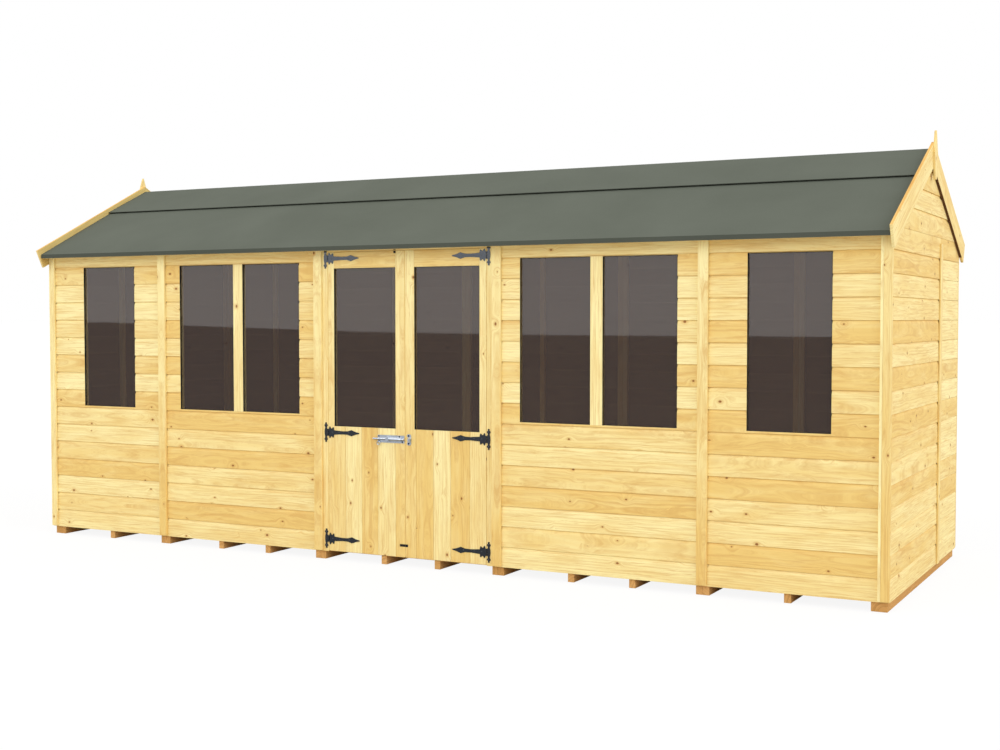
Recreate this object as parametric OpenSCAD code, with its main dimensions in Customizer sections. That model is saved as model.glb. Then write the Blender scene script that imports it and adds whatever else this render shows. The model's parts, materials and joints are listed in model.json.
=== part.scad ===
// Long apex summerhouse of clad timber panels, with glazed double doors,
// six fixed windows, a felted roof, bargeboards and finials.
// Lengths are in millimetres. X runs along the front, Y from front to back,
// Z up. The origin is on the ground, in the middle of the plan.

/* [Walls] */
// Depth of the gable walls, over the front and back cladding
wall_depth = 1844; // [1700:1:2300]
// Length of each of the two end panels of the front wall
end_bay = 953.5; // [900:0.5:1050]
// Length of each panel with a pair of windows
pair_bay = 1193; // [1100:1:1500]
// Thickness of the matchboard cladding
clad_t = 12; // [9:1:19]
// Depth of the framing behind the cladding
frame_d = 28; // [22:1:45]
// Face width of a framing member
frame_w = 34; // [26:1:42]
// Distance from the front wall to the joint between two gable panels
gable_joint = 1245; // [1000:1:1400]

/* [Floor] */
// Height of the floor joists
joist_h = 49; // [38:1:75]
// Width of one floor joist
joist_w = 36; // [28:1:44]
// Width of the wide joist under each gable
end_joist_w = 80; // [60:1:100]
// First joist of a middle bay, from the bay's left joint
first_joist = 445; // [380:1:500]
// Second joist of a middle bay, from the bay's left joint
second_joist = 802; // [700:1:860]
// Thickness of the floor boards
floor_t = 12; // [9:1:19]

/* [Windows] */
// Width of each window in a pair
window_w = 420; // [340:1:440]
// Width of the boarding between the two windows of a pair
mullion_w = 70; // [50:1:110]
// Width of the single window of an end panel
end_window_w = 430; // [340:1:460]
// Middle of the end window, from the corner of the house
end_window_at = 507; // [470:1:540]
// Height of the window sills above the foot of the cladding
sill_z = 811; // [760:1:900]
// How far the windows' heads stand below the top of the doors
window_drop = 59; // [50:1:200]
// Thickness of the glazing
glass_t = 3; // [2:1:6]
// How far the glass laps behind the boarding round its opening
glass_lap = 5; // [3:1:8]

/* [Doors] */
// Width of the doorway between its jambs
doorway_w = 1065; // [900:1:1300]
// Width of a door jamb
jamb_w = 64; // [60:1:90]
// Running gap round each door leaf
door_gap = 5; // [5:0.5:7]
// Height of a door leaf above the foot of the cladding
door_h = 1768; // [1600:1:2000]
// Width of the boarding beside the glass, on the hinge side
hinge_stile = 42; // [36:1:70]
// Width of the boarding beside the glass, on the meeting side
meeting_stile = 61; // [50:1:80]
// Height of the foot of the door glass
door_glass_z = 746; // [730:1:820]
// Height of the rail above the door glass
door_top_rail = 95; // [70:1:160]
// How far the meeting stiles' framing is set back from the meeting edge
frame_setback = 4; // [3:1:8]

/* [Hinges and bolt] */
// Height of the lowest hinge's middle
hinge_low_z = 77; // [70:1:110]
// How far the middle hinge is below the foot of the door glass
hinge_mid_drop = 38; // [30:1:300]
// How far the top hinge is below the top of the doors
hinge_top_drop = 37; // [36:1:150]
// Thickness of the hinge plates and straps
strap_t = 3; // [2:0.5:4]
// Radius of a hinge pin
pin_r = 2.5; // [2:0.1:3]
// Radius of a hinge knuckle
knuckle_r = 4.5; // [4.2:0.1:5.5]
// Height of a whole knuckle
knuckle_h = 40; // [34:1:48]
// Length of a strap from the pin to its tip
strap_l = 218; // [160:1:300]
// How far the bolt's rod is below the foot of the door glass
bolt_drop = 61; // [40:1:120]
// Length of the bolt's plate
bolt_plate_l = 181; // [150:1:220]
// Height of the bolt's plate
bolt_plate_h = 44; // [36:1:52]
// Radius of the bolt's rod
rod_r = 5.7; // [4.5:0.1:7]
// Travel of the bolt
bolt_travel = 36; // [30:1:40]
// Clearance of pins and rods in their bores
bore_gap = 0.08; // [0.04:0.01:0.1]

/* [Cover strips] */
// Width of the strip over a joint between two panels
strip_w = 56; // [44:1:70]
// Thickness of the front and back strips
strip_t = 14; // [8:1:20]
// Width of the strip at a corner of the house
corner_strip_w = 43; // [36:1:60]
// Width of the narrow bead beside the right corner strips
corner_bead_w = 14; // [8:1:20]
// Thickness of the gable strips
gable_strip_t = 9; // [6:1:14]
// How far the front and back strips stop above the foot of the cladding
strip_foot = 5; // [0:1:10]

/* [Roof] */
// Pitch of the roof, in degrees
pitch = 26; // [22:0.5:30]
// How far the roof's edge stands out from the front and back walls
eaves_out = 80; // [60:1:110]
// Running gap between the doors' tops and the foot of the roof's edge
eaves_clear = 6; // [5:0.5:20]
// Depth of the edge that the felt is folded down over
drip_h = 25; // [16:1:25]
// Thickness of the roof boards
roof_t = 12; // [9:1:19]
// Thickness of the roofing felt
felt_t = 3; // [2:0.5:5]
// Sloping width of the ridge felt, on each side
ridge_felt_w = 417; // [300:1:500]
// How far the ridge felt's lower edge stands off the felt under it
ridge_felt_lift = 10; // [3:1:14]
// Width of a bargeboard
barge_w = 120; // [90:1:150]
// Thickness of a bargeboard
barge_t = 15; // [10:1:22]
// How far a bargeboard stands above the felt
barge_rise = 34.5; // [20:0.5:50]
// How far a bargeboard reaches past the edge of the roof
barge_out = 30; // [15:1:50]
// How far the gable peaks stand out from the gable walls
peak_proud = 2; // [1:0.5:6]
// Width of a finial
finial_w = 90; // [60:1:110]
// Height of a finial
finial_h = 261; // [200:1:300]
// How far a finial's tip stands above the bargeboards
finial_up = 60; // [40:1:100]
// Thickness of a finial
finial_t = 12; // [9:1:20]
// Depth of the purlins and of the ridge beam
purlin_d = 69; // [44:1:94]

/* [Hidden] */

pine = "#f0d79a";
sawn = "#c08a4e";
felt_green = "#6f756b";
tinted = "#4b413cc0";
black_iron = "#33363a";
zinc = "#b9bfc8";

seat = 0.3;                     // clearance between pieces that bear on each other
floor_clear = 0.5;              // between the floor's timbers and what stands beside them
door_bay = doorway_w + 2*jamb_w;
wall_length = 2*(end_bay + pair_bay) + door_bay;
// joints between the wall panels, from the left corner
joints = [end_bay, end_bay + pair_bay, end_bay + pair_bay + door_bay, wall_length - end_bay];
bay_edges = concat([0], joints, [wall_length]);
centre_x = wall_length / 2;
ridge_y = wall_depth / 2;
inner = clad_t + frame_d;

eaves_z = door_h + eaves_clear + drip_h;
window_h = door_h - window_drop - sill_z;
door_glass_h = door_h - door_top_rail - door_glass_z;
// height of the felt's top, and of the boards' underside, over a point of the front slope
function felt_top(y) = eaves_z + (y + eaves_out)*tan(pitch);
function under_roof(y) = felt_top(y) - (felt_t + roof_t)/cos(pitch);
wall_top = under_roof(clad_t);
clad_top = under_roof(0);

leaf_w = (doorway_w - 3*door_gap) / 2;
leaf_x = centre_x - doorway_w/2 + door_gap;
door_glass_w = leaf_w - hinge_stile - meeting_stile;
pin_x = leaf_x - door_gap/2;
hinge_zs = [hinge_low_z, door_glass_z - hinge_mid_drop, door_h - hinge_top_drop];
bolt_z = door_glass_z - bolt_drop;

// windows as [left edge, width]
pair_half = (2*window_w + mullion_w)/2;
function pair_in(bay) = let(m = (bay_edges[bay] + bay_edges[bay + 1])/2)
    [[m - pair_half, window_w], [m + mullion_w/2, window_w]];
left_end_window = [[end_window_at - end_window_w/2, end_window_w]];
right_end_window = [[wall_length - end_window_at - end_window_w/2, end_window_w]];

// the house stands with the middle of its plan over the origin
module place() translate([-wall_length/2, -wall_depth/2, joist_h]) children();
module flip_x() translate([wall_length, 0, 0]) mirror([1, 0, 0]) children();
module flip_y() translate([0, wall_depth, 0]) mirror([0, 1, 0]) children();
// a block between two opposite corners
module block(low, high) translate(low) cube(high - low);
// an outline in Y and Z, run along X from x0 to x1
module run_x(x0, x1) translate([x0, 0, 0]) rotate([90, 0, 90]) linear_extrude(x1 - x0) children();

// ---- floor ----

module joist_at(x, w)
    block([x - w/2, clad_t + floor_clear, -joist_h], [x + w/2, wall_depth - clad_t - floor_clear, 0]);

module floor_joists() color(sawn) place() {
    for (side = [0, 1]) {
        edge = clad_t + floor_clear + end_joist_w/2;
        joist_at(side == 0 ? edge : wall_length - edge, end_joist_w);
        joist_at(side == 0 ? end_window_at : wall_length - end_window_at, joist_w);
    }
    for (x = joints) for (side = [-1, 1]) joist_at(x + side*(joist_w + floor_clear)/2, joist_w);
    for (i = [0:2]) for (x = [first_joist, second_joist]) joist_at(joints[i] + x, joist_w);
}

module floor_boards() color(sawn) place()
    for (i = [0:4])
        block([i == 0 ? clad_t + floor_clear : bay_edges[i] + seat, clad_t + door_gap, 0],
              [i == 4 ? wall_length - clad_t - floor_clear : bay_edges[i + 1] - seat,
               wall_depth - clad_t - floor_clear, floor_t]);

// ---- front and back walls ----

module clad_panel(bay, windows)
    difference() {
        block([bay_edges[bay] + (bay == 0 ? 0 : seat), 0, 0],
              [bay_edges[bay + 1] - (bay == 4 ? 0 : seat), clad_t, clad_top]);
        for (w = windows) block([w[0], -1, sill_z], [w[0] + w[1], clad_t + 1, sill_z + window_h]);
    }

module front_wall_left_end() color(pine) place() clad_panel(0, left_end_window);
module front_wall_left_pair() color(pine) place() clad_panel(1, pair_in(1));
module front_wall_right_pair() color(pine) place() clad_panel(3, pair_in(3));
module front_wall_right_end() color(pine) place() clad_panel(4, right_end_window);

// a framing member of the front wall, between two corners in X and Z
module member(x0, x1, z0, z1) block([x0, clad_t, z0], [x1, inner, z1]);

// an upright between the bottom rail and the top rail
module stud(x0, x1) member(x0, x1, floor_t + frame_w + seat, wall_top - frame_w - seat);

// rails and end stiles of one panel; the gable panels stand outside x0 and x1
module panel_frame(bay) {
    x0 = (bay == 0 ? clad_t : bay_edges[bay]) + seat;
    x1 = (bay == 4 ? wall_length - clad_t : bay_edges[bay + 1]) - seat;
    member(x0, x1, floor_t, floor_t + frame_w);
    member(x0, x1, wall_top - frame_w, wall_top);
    for (x = [x0, x1 - frame_w]) stud(x, x + frame_w);
}

// the framing stands clear of the glass, which laps behind the boarding
rebate = glass_lap + seat;
// sill and head of one window
module window_rails(w) {
    x0 = w[0] - rebate + seat;
    x1 = w[0] + w[1] + rebate - seat;
    member(x0, x1, sill_z - rebate - frame_w, sill_z - rebate);
    member(x0, x1, sill_z + window_h + rebate, sill_z + window_h + rebate + frame_w);
}

module windowed_frame(bay, windows) {
    last = windows[len(windows) - 1];
    panel_frame(bay);
    for (w = windows) window_rails(w);
    stud(windows[0][0] - rebate - frame_w, windows[0][0] - rebate);
    stud(last[0] + last[1] + rebate, last[0] + last[1] + rebate + frame_w);
    if (len(windows) == 2) stud(windows[0][0] + windows[0][1] + rebate, last[0] - rebate);
}

module front_frame() color(pine) place() {
    windowed_frame(0, left_end_window);
    windowed_frame(1, pair_in(1));
    windowed_frame(3, pair_in(3));
    windowed_frame(4, right_end_window);
}

// a pane against the back of the boarding, lapping its opening all round
module pane(x, w, z, h)
    block([x - glass_lap, clad_t, z - glass_lap], [x + w + glass_lap, clad_t + glass_t, z + h + glass_lap]);

module window_glass() color(tinted) place()
    for (w = concat(left_end_window, pair_in(1), pair_in(3), right_end_window))
        pane(w[0], w[1], sill_z, window_h);

module back_wall() color(pine) place() flip_y() for (i = [0:4]) clad_panel(i, []);

module back_frame() color(pine) place() flip_y()
    for (i = [0:4]) {
        mid = (bay_edges[i] + bay_edges[i + 1])/2;
        panel_frame(i);
        stud(mid - frame_w/2, mid + frame_w/2);
    }

// ---- cover strips ----

strip_top = under_roof(-strip_t);
module joint_strips()
    for (x = joints) block([x - strip_w/2, -strip_t, strip_foot], [x + strip_w/2, 0, strip_top]);

module corner_strips() {
    block([0, -strip_t, strip_foot], [corner_strip_w, 0, strip_top]);
    block([wall_length - corner_strip_w, -strip_t, strip_foot], [wall_length, 0, strip_top]);
    block([wall_length - corner_strip_w - corner_bead_w, -strip_t, strip_foot],
          [wall_length - corner_strip_w - seat, 0, strip_top]);
}

module front_cover_strips() color(pine) place() { joint_strips(); corner_strips(); }
module back_cover_strips() color(pine) place() flip_y() { joint_strips(); corner_strips(); }

module gable_cover_strips() color(pine) place()
    for (side = [0, 1]) mirrored_right(side)
        block([-gable_strip_t, gable_joint - strip_w/2, 0], [0, gable_joint + strip_w/2, wall_top - seat]);

// side 0 is the left gable, side 1 the right one
module mirrored_right(side) {
    if (side == 0) children();
    if (side == 1) flip_x() children();
}

// ---- gables ----

module gable_wall() {
    block([0, clad_t + seat, 0], [clad_t, gable_joint - seat, wall_top]);
    block([0, gable_joint + seat, 0], [clad_t, wall_depth - clad_t - seat, wall_top]);
}
module left_gable_wall() color(pine) place() gable_wall();
module right_gable_wall() color(pine) place() flip_x() gable_wall();

// a framing member of a gable, between two corners in Y and Z
module gable_member(y0, y1, z0, z1) block([clad_t, y0, z0], [inner, y1, z1]);
module gable_stud(y) gable_member(y, y + frame_w, floor_t + frame_w + seat, wall_top - frame_w - seat);

module gable_panel_frame(y0, y1) {
    gable_member(y0 + seat, y1 - seat, floor_t, floor_t + frame_w);
    gable_member(y0 + seat, y1 - seat, wall_top - frame_w, wall_top);
    for (y = [y0 + seat, y1 - frame_w - seat]) gable_stud(y);
}

module gable_frames() color(pine) place()
    for (side = [0, 1]) mirrored_right(side) {
        gable_panel_frame(inner, gable_joint);
        gable_panel_frame(gable_joint, wall_depth - inner);
        gable_stud((inner + gable_joint - frame_w)/2);
    }

// triangle under the roof, down to the top of the wall
peak_z = wall_top + seat;
peak_y = (peak_z - under_roof(0))/tan(pitch);
module peak_outline()
    polygon([[peak_y, peak_z], [wall_depth - peak_y, peak_z], [ridge_y, under_roof(ridge_y)]]);

module gable_peak() run_x(-peak_proud, clad_t - peak_proud) peak_outline();
module left_gable_peak() color(pine) place() gable_peak();
module right_gable_peak() color(pine) place() flip_x() gable_peak();

// a strip under one slope, from y0 to y1, down to a depth square to the slope
module slope_strip(y0, y1, depth) {
    drop = depth/cos(pitch);
    polygon([[y0, under_roof(y0)], [y1, under_roof(y1)],
             [y1, under_roof(y1) - drop], [y0, under_roof(y0) - drop]]);
}

tie_y = (peak_z + frame_w - under_roof(0))/tan(pitch);
rafter_foot = (peak_z + frame_w + seat + frame_w/cos(pitch) - under_roof(0))/tan(pitch);
module gable_rafters() color(pine) place()
    for (side = [0, 1]) mirrored_right(side) {
        run_x(clad_t, inner) slope_strip(rafter_foot, ridge_y - frame_w/2 - seat, frame_w);
        flip_y() run_x(clad_t, inner) slope_strip(rafter_foot, ridge_y - frame_w/2 - seat, frame_w);
        gable_member(tie_y, wall_depth - tie_y, peak_z, peak_z + frame_w);
    }

// ---- roof ----

edge_y = -eaves_out + felt_t + seat;
batten_w = 25;      // batten that stiffens the edge of the roof
roof_end = -peak_proud;
roof_l = wall_length + 2*peak_proud;
module roof_boards_outline() {
    top = felt_t/cos(pitch) + seat;
    polygon([[edge_y, felt_top(edge_y) - top], [ridge_y - seat, felt_top(ridge_y) - top],
             [ridge_y - seat, under_roof(ridge_y)], [edge_y + batten_w, under_roof(edge_y + batten_w)],
             [edge_y + batten_w, eaves_z - drip_h], [edge_y, eaves_z - drip_h]]);
}
module roof_slope() run_x(roof_end, roof_end + roof_l) roof_boards_outline();
module roof_boards_front() color(pine) place() roof_slope();
module roof_boards_back() color(pine) place() flip_y() roof_slope();

module ridge_beam() color(pine) place() {
    top = under_roof(ridge_y - frame_w/2);
    block([clad_t + seat, ridge_y - frame_w/2, top - purlin_d],
          [wall_length - clad_t - seat, ridge_y + frame_w/2, top]);
}

purlin_y = ridge_y/2 - frame_w/2;
module purlins() color(pine) place()
    for (back = [0, 1]) mirrored_back(back)
        run_x(inner + seat, wall_length - inner - seat) slope_strip(purlin_y, purlin_y + frame_w, purlin_d);

module mirrored_back(back) {
    if (back == 0) children();
    if (back == 1) flip_y() children();
}

module felt_outline() {
    drop = felt_t/cos(pitch);
    polygon([[-eaves_out, eaves_z], [ridge_y - seat, felt_top(ridge_y - seat)],
             [ridge_y - seat, felt_top(ridge_y - seat) - drop],
             [-eaves_out + felt_t, felt_top(-eaves_out + felt_t) - drop],
             [-eaves_out + felt_t, eaves_z - drip_h], [-eaves_out, eaves_z - drip_h]]);
}
module felt_front() color(felt_green) place() run_x(roof_end, roof_end + roof_l) felt_outline();
module felt_back() color(felt_green) place() flip_y() run_x(roof_end, roof_end + roof_l) felt_outline();

module felt_ridge() color(felt_green) place() run_x(roof_end, roof_end + roof_l) {
    lap_y = ridge_y - ridge_felt_w*cos(pitch);
    lap_z = felt_top(lap_y) + ridge_felt_lift;
    crown = felt_top(ridge_y);
    drop = felt_t/cos(pitch);
    polygon([[lap_y, lap_z], [ridge_y, crown], [wall_depth - lap_y, lap_z],
             [wall_depth - lap_y, lap_z + drop], [ridge_y, crown + drop], [lap_y, lap_z + drop]]);
}

// ---- bargeboards and finials ----

function barge_top(y) = felt_top(y) + barge_rise/cos(pitch);
barge_end_y = -eaves_out - barge_out;

module barge_outline()
    polygon([[barge_end_y, barge_top(barge_end_y)], [ridge_y - seat, barge_top(ridge_y - seat)],
             [ridge_y - seat, barge_top(ridge_y - seat) - barge_w/cos(pitch)],
             [barge_end_y + barge_w*sin(pitch), barge_top(barge_end_y) - barge_w*cos(pitch)]]);

module bargeboards()
    for (back = [0, 1]) mirrored_back(back) run_x(-peak_proud - barge_t, -peak_proud) barge_outline();
module bargeboards_left() color(pine) place() bargeboards();
module bargeboards_right() color(pine) place() flip_x() bargeboards();

// a spear-headed board over the joint of the bargeboards
finial_head = 120;    // from the tip down to the widest place
finial_foot_w = 34;
finial_tip_w = 6;
module finial() {
    tip = barge_top(ridge_y) + finial_up;
    run_x(-peak_proud - barge_t - finial_t, -peak_proud - barge_t)
        polygon([[ridge_y - finial_tip_w/2, tip], [ridge_y + finial_tip_w/2, tip],
                 [ridge_y + finial_w/2, tip - finial_head], [ridge_y + finial_foot_w/2, tip - finial_h],
                 [ridge_y - finial_foot_w/2, tip - finial_h], [ridge_y - finial_w/2, tip - finial_head]]);
}
module finial_left() color(pine) place() finial();
module finial_right() color(pine) place() flip_x() finial();

// ---- doorway ----

module door_jamb()
    difference() {
        block([joints[1] + seat, 0, 0], [joints[1] + jamb_w, inner, clad_top]);
        block([joints[1], clad_t, -1], [joints[1] + jamb_w + 1, inner + 1, floor_t]);
    }
module door_jambs() color(pine) place() { door_jamb(); flip_x() door_jamb(); }

module door_head() color(pine) place()
    block([joints[1] + jamb_w + seat, 0, door_h + door_gap],
          [joints[2] - jamb_w - seat, inner, clad_top]);

// ---- doors: each is drawn as the left leaf ----

foot_z = door_gap;
module leaf_boards()
    difference() {
        block([leaf_x, 0, foot_z], [leaf_x + leaf_w, clad_t, door_h]);
        block([leaf_x + hinge_stile, -1, door_glass_z],
              [leaf_x + hinge_stile + door_glass_w, clad_t + 1, door_glass_z + door_glass_h]);
    }

leaf_foot = floor_t + door_gap;
ledge_w = 68;       // height of the ledges across the lower half of a leaf
module leaf_frame() {
    glass_x = leaf_x + hinge_stile - rebate;
    glass_x1 = leaf_x + hinge_stile + door_glass_w + rebate;
    member(leaf_x, glass_x, leaf_foot, door_h);
    member(glass_x1, leaf_x + leaf_w - frame_setback, leaf_foot, door_h);
    member(glass_x + seat, glass_x1 - seat, leaf_foot, leaf_foot + ledge_w);
    member(glass_x + seat, glass_x1 - seat, door_glass_z - rebate - ledge_w, door_glass_z - rebate);
    member(glass_x + seat, glass_x1 - seat, door_glass_z + door_glass_h + rebate, door_h);
}

module leaf_glass() pane(leaf_x + hinge_stile, door_glass_w, door_glass_z, door_glass_h);

// outline of a strap above its middle line, as [distance from the pin, half height]
strap_half = [[0, 20], [6, 21], [9, 32], [12, 35], [15, 33], [19, 25], [26, 22], [32, 29], [36, 31], [39, 28],
              [42, 13], [101, 9], [strap_l - 82, 10], [strap_l - 54, 18], [strap_l - 27, 8],
              [strap_l - 8, 4], [strap_l, 2.5]];
knuckle_part = knuckle_h/4;

// a flat outline in X and Z, thickened from the wall's face outwards
module plate_on_face(t) rotate([90, 0, 0]) linear_extrude(t) children();

module strap()
    difference() {
        union() {
            plate_on_face(strap_t) difference() {
                polygon(concat(strap_half,
                    [for (i = [len(strap_half) - 1:-1:0]) [strap_half[i][0], -strap_half[i][1]]]));
                translate([-1, knuckle_part]) square([knuckle_r + 1 + seat, knuckle_h]);
                translate([-1, -knuckle_part - knuckle_h]) square([knuckle_r + 1 + seat, knuckle_h]);
            }
            translate([0, -knuckle_r, -knuckle_part + seat])
                cylinder(h = 2*knuckle_part - 2*seat, r = knuckle_r, $fn = 32);
        }
        translate([0, -knuckle_r, -knuckle_h]) cylinder(h = 2*knuckle_h, r = pin_r + bore_gap, $fn = 32);
    }

module leaf_straps() for (z = hinge_zs) translate([pin_x, 0, z]) strap();

// half outline of the fixed plate, as [half width, height] from its top
plate_half = [[3.5, 58], [5.5, 55], [5, 51], [4.5, 48], [9, 46], [11.5, 42], [11.5, 39], [8.5, 35], [6, 31],
              [6, 26], [8, 20], [9.5, 12], [10, 0]];
plate_x = -15;        // middle of the fixed plate, from the pin
module hinge_plate() {
    right = [for (p = plate_half) [p[0], p[1]]];
    lower = [for (i = [len(plate_half) - 2:-1:0]) [plate_half[i][0], -plate_half[i][1]]];
    upper_left = [for (i = [len(plate_half) - 1:-1:0]) [-plate_half[i][0], plate_half[i][1]]];
    lower_left = [for (i = [0:len(plate_half) - 2]) [-plate_half[i][0], -plate_half[i][1]]];
    plate_on_face(strap_t) translate([plate_x, 0]) polygon(concat(right, lower, lower_left, upper_left));
    for (side = [-1, 1]) {
        z0 = side > 0 ? knuckle_part + seat : -2*knuckle_part;
        translate([0, -knuckle_r, z0]) cylinder(h = knuckle_part - seat, r = knuckle_r, $fn = 32);
        block([plate_x, -strap_t, z0], [0, 0, z0 + knuckle_part - seat]);
    }
    translate([0, -knuckle_r, -2*knuckle_part]) cylinder(h = 4*knuckle_part, r = pin_r, $fn = 32);
}
module hinge_plates() color(black_iron) place()
    for (z = hinge_zs) for (side = [0, 1]) mirrored_right(side) translate([pin_x, 0, z]) hinge_plate();

module left_door_boards() color(pine) place() leaf_boards();
module left_door_frame() color(pine) place() leaf_frame();
module left_door_glass() color(tinted) place() leaf_glass();
module left_door_straps() color(black_iron) place() leaf_straps();
module right_door_boards() color(pine) place() flip_x() leaf_boards();
module right_door_frame() color(pine) place() flip_x() leaf_frame();
module right_door_glass() color(tinted) place() flip_x() leaf_glass();
module right_door_straps() color(black_iron) place() flip_x() leaf_straps();

// ---- bolt: the rod is drawn withdrawn, its end flush with the leaf's edge ----

bolt_clear = 0.5;     // from the plate's end to the leaf's edge
plate_t = 2;
plate_end_x = leaf_x + leaf_w - bolt_clear;
bolt_x = plate_end_x - bolt_plate_l;
rod_y = -plate_t - rod_r - 1.5;
barrel_l = 84;
barrel_x = plate_end_x - barrel_l - 16;
barrel_r = rod_r + 3;
staple_w = 18;        // staple that guides the rod, beside the barrel
staple_foot_h = 38;
module bolt_plate() color(zinc) place()
    difference() {
        union() {
            block([bolt_x, -plate_t, bolt_z - bolt_plate_h/2], [plate_end_x, 0, bolt_z + bolt_plate_h/2]);
            translate([barrel_x, rod_y, bolt_z]) rotate([0, 90, 0])
                cylinder(h = barrel_l, r = barrel_r, $fn = 48);
            block([barrel_x, rod_y, bolt_z - barrel_r], [barrel_x + barrel_l, 0, bolt_z + barrel_r]);
            block([barrel_x - staple_w, rod_y - barrel_r, bolt_z - barrel_r - plate_t],
                  [barrel_x, 0, bolt_z + barrel_r + plate_t]);
            block([barrel_x - staple_w, -2*plate_t, bolt_z - staple_foot_h/2],
                  [barrel_x, 0, bolt_z + staple_foot_h/2]);
        }
        translate([bolt_x - 1, rod_y, bolt_z]) rotate([0, 90, 0])
            cylinder(h = bolt_plate_l + 2, r = rod_r + bore_gap, $fn = 48);
    }

rod_l = bolt_plate_l + 27;
// a ring on a stem under the rod, clear of the staple when the bolt is shot
ring_r = 10;
ring_wire = 2.4;
ring_drop = 25;
ring_x = barrel_x - staple_w - bolt_travel - ring_r - ring_wire - 5;
module bolt_rod() color(zinc) place() {
    translate([plate_end_x - rod_l, rod_y, bolt_z]) rotate([0, 90, 0])
        cylinder(h = rod_l, r = rod_r, $fn = 48);
    translate([ring_x, rod_y, bolt_z - ring_drop]) {
        rotate([90, 0, 0]) rotate_extrude($fn = 48) translate([ring_r, 0]) circle(r = ring_wire, $fn = 16);
        translate([0, 0, ring_r]) cylinder(h = ring_drop - ring_r, r = 1.3*ring_wire, $fn = 16);
    }
}

// keeper: two ears with a loop between them that takes the rod
keeper_x = centre_x + 14;
keeper_w = 27;
ear_r = 10;
ear_up = 22;
loop_w = 14;
loop_t = 2.5;
loop_hole = 2*(rod_r + 1);
module keeper_outline()
    for (side = [-1, 1]) translate([0, side*ear_up]) {
        for (x = [ear_r, keeper_w - ear_r]) translate([x, 0]) circle(r = ear_r, $fn = 40);
        translate([ear_r, -ear_r]) square([keeper_w - 2*ear_r, 2*ear_r]);
    }
module bolt_keeper() color(zinc) place()
    difference() {
        translate([keeper_x, 0, bolt_z]) union() {
            plate_on_face(plate_t) keeper_outline();
            block([keeper_w - loop_w, -plate_t, -ear_up], [keeper_w, 0, ear_up]);
            block([keeper_w - loop_w, rod_y - loop_hole/2 - loop_t, -loop_hole/2 - loop_t],
                  [keeper_w, 0, loop_hole/2 + loop_t]);
        }
        block([keeper_x - 1, rod_y - loop_hole/2, bolt_z - loop_hole/2],
              [keeper_x + keeper_w + 1, -plate_t, bolt_z + loop_hole/2]);
    }

floor_joists();
floor_boards();
front_wall_left_end();
front_wall_left_pair();
front_wall_right_pair();
front_wall_right_end();
front_frame();
window_glass();
door_jambs();
door_head();
front_cover_strips();
back_wall();
back_frame();
back_cover_strips();
left_gable_wall();
right_gable_wall();
gable_frames();
gable_cover_strips();
left_gable_peak();
right_gable_peak();
gable_rafters();
roof_boards_front();
roof_boards_back();
ridge_beam();
purlins();
felt_front();
felt_back();
felt_ridge();
bargeboards_left();
bargeboards_right();
finial_left();
finial_right();
hinge_plates();
left_door_boards();
left_door_frame();
left_door_glass();
left_door_straps();
right_door_boards();
right_door_frame();
right_door_glass();
right_door_straps();
bolt_plate();
bolt_rod();
bolt_keeper();
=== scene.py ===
import json
import math
import random

import bmesh
import bpy
import numpy as np
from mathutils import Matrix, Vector

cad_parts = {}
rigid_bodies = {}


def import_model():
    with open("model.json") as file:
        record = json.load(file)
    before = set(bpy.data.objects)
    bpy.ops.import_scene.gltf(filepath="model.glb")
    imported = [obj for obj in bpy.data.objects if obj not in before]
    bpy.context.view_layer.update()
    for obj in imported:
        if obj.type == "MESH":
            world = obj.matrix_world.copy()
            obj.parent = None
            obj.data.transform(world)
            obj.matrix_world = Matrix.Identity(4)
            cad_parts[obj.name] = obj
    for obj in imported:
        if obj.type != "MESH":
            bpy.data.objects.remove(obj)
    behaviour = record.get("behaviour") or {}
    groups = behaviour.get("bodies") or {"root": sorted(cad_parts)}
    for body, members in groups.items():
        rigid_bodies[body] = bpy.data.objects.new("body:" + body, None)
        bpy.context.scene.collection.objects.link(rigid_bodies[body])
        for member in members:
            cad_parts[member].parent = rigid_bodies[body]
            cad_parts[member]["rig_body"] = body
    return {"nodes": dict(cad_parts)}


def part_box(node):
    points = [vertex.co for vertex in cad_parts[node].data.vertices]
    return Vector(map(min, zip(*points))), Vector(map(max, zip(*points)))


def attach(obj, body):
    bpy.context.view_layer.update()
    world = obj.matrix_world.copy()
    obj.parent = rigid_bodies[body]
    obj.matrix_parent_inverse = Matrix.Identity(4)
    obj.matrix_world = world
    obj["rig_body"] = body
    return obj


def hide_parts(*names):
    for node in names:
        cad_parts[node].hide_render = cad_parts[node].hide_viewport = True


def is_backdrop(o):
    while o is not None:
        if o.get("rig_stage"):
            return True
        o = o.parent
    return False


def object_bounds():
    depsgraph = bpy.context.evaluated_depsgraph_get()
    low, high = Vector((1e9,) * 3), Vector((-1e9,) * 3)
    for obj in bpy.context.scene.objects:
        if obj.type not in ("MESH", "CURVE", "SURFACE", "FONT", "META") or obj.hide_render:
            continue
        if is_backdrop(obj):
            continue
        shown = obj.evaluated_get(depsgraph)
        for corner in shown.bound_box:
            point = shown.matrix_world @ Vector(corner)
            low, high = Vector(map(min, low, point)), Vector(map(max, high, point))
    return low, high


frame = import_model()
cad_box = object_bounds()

# ---- Floor joists ----
# Square-sawn bearers that run from front to back under the floor, with the floor boards nailed to them.
# They are pressure-treated pine straight off the saw, so they are orange-brown and a little furry.

X, Y, Z = Vector((1, 0, 0)), Vector((0, 1, 0)), Vector((0, 0, 1))
# how wide an edge is eased on sawn and on planed timber, and how round
SAWN_EASE = 0.0012
PLANED_EASE = 0.0015
ROUNDNESS = 0.6
# edges that fold by less than FLAT_ANGLE are dropped, and those by more than SHARP_ANGLE are eased
FLAT_ANGLE = 0.01
SHARP_ANGLE = 0.3
# points this close are one, or lie on a cut
WELD = 1e-6
CUT_SLACK = 1e-7

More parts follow.
